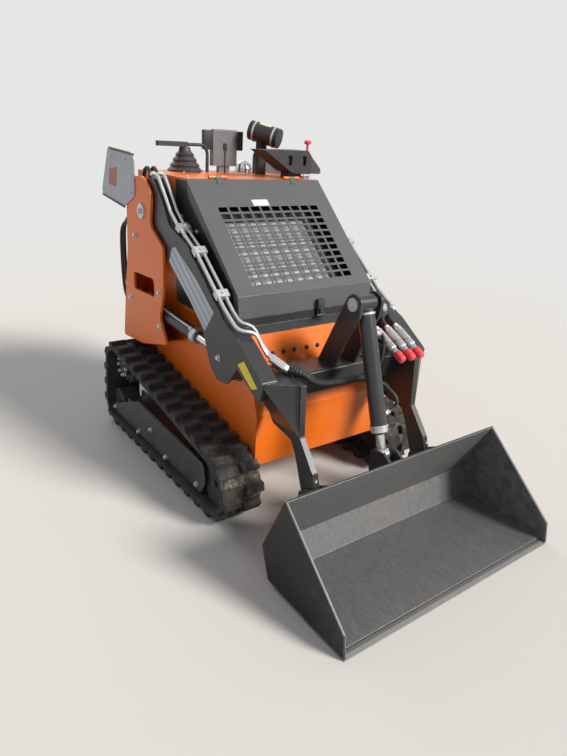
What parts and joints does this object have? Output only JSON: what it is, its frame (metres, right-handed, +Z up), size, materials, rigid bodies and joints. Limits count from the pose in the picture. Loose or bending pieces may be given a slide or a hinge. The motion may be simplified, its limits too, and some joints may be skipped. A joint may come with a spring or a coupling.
{
  "type": "skid steer loader",
  "caption": "Stand-on skid steer loader on rubber tracks: lift arms with a bucket, folded perforated hood, deck with hand controls and a rear operator step.",
  "frame": {"origin": "on the ground under the middle of the machine's length and width", "axes": "+Z up, -Y the way the bucket points, +X the machine's left"},
  "size_m": [1.09, 2.19, 1.5309],
  "materials": {
    "orange_paint": "satin",
    "black_paint": "satin",
    "grey_paint": "satin",
    "pale_panel": "satin",
    "worn_steel": "worn",
    "bright_steel": "polished",
    "zinc_steel": "satin",
    "fin_aluminium": "satin",
    "track_rubber": "matte",
    "boot_rubber": "matte",
    "hose_rubber": "matte",
    "black_plastic": "matte",
    "grey_plastic": "matte",
    "red_plastic": "gloss",
    "cast_block": "rough"
  },
  "bodies": {
    "chassis": {"chassis_frame": "orange_paint", "front_plate": "orange_paint", "front_ledge": "black_paint", "side_panels": "black_paint", "deck": "orange_paint", "rear_panel": "black_paint", "cooling_plate": "black_paint", "radiator_core": "fin_aluminium", "engine_block": "cast_block", "tower_left": "orange_paint", "tower_right": "orange_paint", "tower_pins": "zinc_steel", "side_wings": "pale_panel", "operator_platform": "black_paint", "joystick": "boot_rubber", "reference_bars": "black_paint", "instrument_pod": "grey_plastic", "dash_box": "black_plastic", "fuel_cap": "bright_steel", "air_cleaner": "black_plastic", "track_left": "track_rubber", "track_right": "track_rubber", "track_frames": "black_paint", "track_wheels": "cast_block", "drive_sprockets": "cast_block", "tower_hoses": "hose_rubber"},
    "arms": {"arm_left": "black_paint", "arm_right": "black_paint", "arm_crossbar": "black_paint", "tilt_bracket": "black_paint", "tilt_pin": "zinc_steel", "arm_tubes": "zinc_steel", "arm_hoses": "hose_rubber", "quick_couplers": "zinc_steel", "coupler_caps": "red_plastic"},
    "lift_barrels": {"lift_barrels": "black_paint"},
    "lift_rods": {"lift_rods": "bright_steel"},
    "tilt_barrel": {"tilt_barrel": "black_paint"},
    "tilt_rod": {"tilt_rod": "bright_steel"},
    "bucket": {"bucket_shell": "worn_steel", "cutting_edge": "worn_steel", "attach_plate": "black_paint", "bucket_pins": "zinc_steel"},
    "hood": {"hood_cover": "grey_paint", "hood_latch": "black_plastic"}
  },
  "joints": [
    {"name": "arm_lift", "type": "hinge", "parent": "chassis", "child": "arms", "pos_m": [0, 0.534, 1.125], "axis": [-1, 0, 0], "range_deg": [0, 70]},
    {"name": "bucket_tilt", "type": "hinge", "parent": "arms", "child": "bucket", "pos_m": [0, -0.595, 0.215], "axis": [1, 0, 0], "range_deg": [-20, 80]},
    {"name": "hood_lift", "type": "hinge", "parent": "chassis", "child": "hood", "pos_m": [0, 0.3, 1.289], "axis": [-1, 0, 0], "range_deg": [0, 50]},
    {"name": "lift_barrel_swing", "type": "hinge", "parent": "chassis", "child": "lift_barrels", "pos_m": [0, 0.684, 0.699], "axis": [-1, 0, 0], "range_deg": [-1, 53]},
    {"name": "lift_rod_slide", "type": "slide", "parent": "lift_barrels", "child": "lift_rods", "axis": [0, -0.9979, -0.0655], "range_m": [-0.005, 0.435]},
    {"name": "tilt_barrel_swing", "type": "hinge", "parent": "arms", "child": "tilt_barrel", "pos_m": [0, -0.466, 0.905], "axis": [-1, 0, 0], "range_deg": [-3, 6]},
    {"name": "tilt_rod_slide", "type": "slide", "parent": "tilt_barrel", "child": "tilt_rod", "axis": [0, -0.3122, -0.95], "range_m": [-0.045, 0.165]}
  ],
  "couplings": [
    {"joint": "lift_barrel_swing", "follows": "arm_lift", "ratio": 0.7354},
    {"joint": "lift_rod_slide", "follows": "arm_lift", "m_per_rad": 0.34775},
    {"joint": "tilt_barrel_swing", "follows": "bucket_tilt", "ratio": 0.0532},
    {"joint": "tilt_rod_slide", "follows": "bucket_tilt", "m_per_rad": 0.11451}
  ]
}
